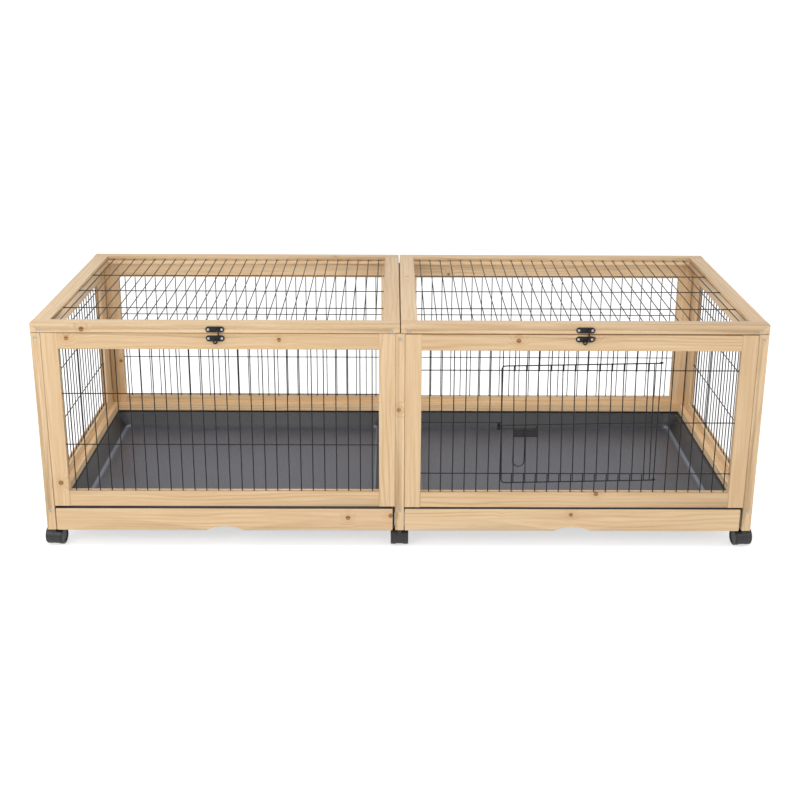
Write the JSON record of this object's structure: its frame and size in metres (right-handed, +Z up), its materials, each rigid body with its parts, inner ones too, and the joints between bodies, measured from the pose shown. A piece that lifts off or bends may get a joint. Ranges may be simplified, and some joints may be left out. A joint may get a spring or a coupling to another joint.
{
  "type": "small animal pen",
  "caption": "Low wooden small animal pen on casters: mesh-panelled bays with hinged mesh lids, hook latches, a wire door with a sliding bolt, and pull-out plastic trays.",
  "frame": {"origin": "on the floor, under the middle of the pen's bounding box", "axes": "+X along the pen's length to the right as seen from the door side, +Y to the rear, +Z up; the door and the tray fronts face -Y"},
  "size_m": [1.52, 0.6526, 0.5],
  "materials": {
    "pine": "planed softwood with a clear matt coat",
    "black_wire": "black coated wire, satin",
    "black_latch": "black coated sheet, satin",
    "steel": "zinc plated, satin",
    "tray_plastic": "dark blue-grey sheet plastic, faintly speckled satin",
    "caster_plastic": "black moulded plastic",
    "wheel_plastic": "dark grey moulded plastic, satin"
  },
  "bodies": {
    "frame": {"front_posts": "pine", "rear_posts": "pine", "front_rails": "pine", "front_stiles": "pine", "front_left_mesh": "black_wire", "front_right_mesh": "black_wire", "rear_rails": "pine", "rear_stiles": "pine", "rear_left_mesh": "black_wire", "rear_right_mesh": "black_wire", "side_rails": "pine", "side_stiles": "pine", "left_side_mesh": "black_wire", "right_side_mesh": "black_wire", "skirt_boards": "pine", "centre_beams": "pine", "guard_slats": "pine", "tray_runners": "pine", "frame_screws": "steel", "frame_hinge_leaves": "steel", "hinge_pins": "steel", "latch_keepers": "black_latch", "caster_sockets": "caster_plastic", "door_catch": "black_latch"},
    "left_lid": {"left_lid_rails": "pine", "left_lid_stiles": "pine", "left_lid_mesh": "black_wire", "left_lid_hinge_leaves": "steel", "left_lid_screws": "steel", "left_hook_plate": "black_latch"},
    "left_latch_hook": {"left_hook": "black_latch"},
    "left_tray_drawer": {"left_tray": "tray_plastic", "left_tray_front": "pine", "left_tray_screws": "steel"},
    "right_lid": {"right_lid_rails": "pine", "right_lid_stiles": "pine", "right_lid_mesh": "black_wire", "right_lid_hinge_leaves": "steel", "right_lid_screws": "steel", "right_hook_plate": "black_latch"},
    "right_latch_hook": {"right_hook": "black_latch"},
    "right_tray_drawer": {"right_tray": "tray_plastic", "right_tray_front": "pine", "right_tray_screws": "steel"},
    "door": {"wire_door": "black_wire", "door_latch_plate": "black_latch"},
    "bolt": {"door_bolt": "black_latch"},
    "front_left_caster": {"front_left_caster_hood": "caster_plastic"},
    "front_left_wheel_pair": {"front_left_caster_wheels": "wheel_plastic"},
    "front_centre_caster": {"front_centre_caster_hood": "caster_plastic"},
    "front_centre_wheel_pair": {"front_centre_caster_wheels": "wheel_plastic"},
    "front_right_caster": {"front_right_caster_hood": "caster_plastic"},
    "front_right_wheel_pair": {"front_right_caster_wheels": "wheel_plastic"},
    "rear_left_caster": {"rear_left_caster_hood": "caster_plastic"},
    "rear_left_wheel_pair": {"rear_left_caster_wheels": "wheel_plastic"},
    "rear_centre_caster": {"rear_centre_caster_hood": "caster_plastic"},
    "rear_centre_wheel_pair": {"rear_centre_caster_wheels": "wheel_plastic"},
    "rear_right_caster": {"rear_right_caster_hood": "caster_plastic"},
    "rear_right_wheel_pair": {"rear_right_caster_wheels": "wheel_plastic"}
  },
  "joints": [
    {"name": "left_lid_hinge", "type": "hinge", "parent": "frame", "child": "left_lid", "pos_m": [0, 0.3233, 0.4795], "axis": [-1, 0, 0], "range_deg": [0, 190]},
    {"name": "right_lid_hinge", "type": "hinge", "parent": "frame", "child": "right_lid", "pos_m": [0, 0.3233, 0.4795], "axis": [-1, 0, 0], "range_deg": [0, 190]},
    {"name": "left_hook_pivot", "type": "hinge", "parent": "left_lid", "child": "left_latch_hook", "pos_m": [-0.36862, -0.32382, 0.4862], "axis": [0, -1, 0], "range_deg": [0, 100]},
    {"name": "right_hook_pivot", "type": "hinge", "parent": "right_lid", "child": "right_latch_hook", "pos_m": [0.38262, -0.32382, 0.4862], "axis": [0, -1, 0], "range_deg": [0, 100]},
    {"name": "door_hinge", "type": "hinge", "parent": "frame", "child": "door", "pos_m": [0.53595, -0.31415, 0.2885], "axis": [0, 0, 1], "range_deg": [0, 150]},
    {"name": "door_bolt_slide", "type": "slide", "parent": "door", "child": "bolt", "axis": [1, 0, 0], "range_m": [0, 0.015]},
    {"name": "left_tray_slide", "type": "slide", "parent": "frame", "child": "left_tray_drawer", "axis": [0, -1, 0], "range_m": [0, 0.55]},
    {"name": "right_tray_slide", "type": "slide", "parent": "frame", "child": "right_tray_drawer", "axis": [0, -1, 0], "range_m": [0, 0.55]},
    {"name": "front_left_caster_swivel", "type": "hinge", "parent": "frame", "child": "front_left_caster", "pos_m": [-0.7405, -0.303, 0.044], "axis": [0, 0, 1], "continuous": true},
    {"name": "front_left_wheel_spin", "type": "hinge", "parent": "front_left_caster", "child": "front_left_wheel_pair", "pos_m": [-0.73883, -0.29112, 0.019], "axis": [0.9903, -0.1392, 0], "continuous": true},
    {"name": "front_centre_caster_swivel", "type": "hinge", "parent": "frame", "child": "front_centre_caster", "pos_m": [0, -0.303, 0.044], "axis": [0, 0, 1], "continuous": true},
    {"name": "front_centre_wheel_spin", "type": "hinge", "parent": "front_centre_caster", "child": "front_centre_wheel_pair", "pos_m": [0, -0.291, 0.019], "axis": [1, 0, 0], "continuous": true},
    {"name": "front_right_caster_swivel", "type": "hinge", "parent": "frame", "child": "front_right_caster", "pos_m": [0.7405, -0.303, 0.044], "axis": [0, 0, 1], "continuous": true},
    {"name": "front_right_wheel_spin", "type": "hinge", "parent": "front_right_caster", "child": "front_right_wheel_pair", "pos_m": [0.73883, -0.29112, 0.019], "axis": [0.9903, 0.1392, 0], "continuous": true},
    {"name": "rear_left_caster_swivel", "type": "hinge", "parent": "frame", "child": "rear_left_caster", "pos_m": [-0.7405, 0.303, 0.044], "axis": [0, 0, 1], "continuous": true},
    {"name": "rear_left_wheel_spin", "type": "hinge", "parent": "rear_left_caster", "child": "rear_left_wheel_pair", "pos_m": [-0.73883, 0.29112, 0.019], "axis": [-0.9903, -0.1392, 0], "continuous": true},
    {"name": "rear_centre_caster_swivel", "type": "hinge", "parent": "frame", "child": "rear_centre_caster", "pos_m": [0, 0.303, 0.044], "axis": [0, 0, 1], "continuous": true},
    {"name": "rear_centre_wheel_spin", "type": "hinge", "parent": "rear_centre_caster", "child": "rear_centre_wheel_pair", "pos_m": [0, 0.291, 0.019], "axis": [-1, 0, 0], "continuous": true},
    {"name": "rear_right_caster_swivel", "type": "hinge", "parent": "frame", "child": "rear_right_caster", "pos_m": [0.7405, 0.303, 0.044], "axis": [0, 0, 1], "continuous": true},
    {"name": "rear_right_wheel_spin", "type": "hinge", "parent": "rear_right_caster", "child": "rear_right_wheel_pair", "pos_m": [0.73883, 0.29112, 0.019], "axis": [-0.9903, 0.1392, 0], "continuous": true}
  ]
}
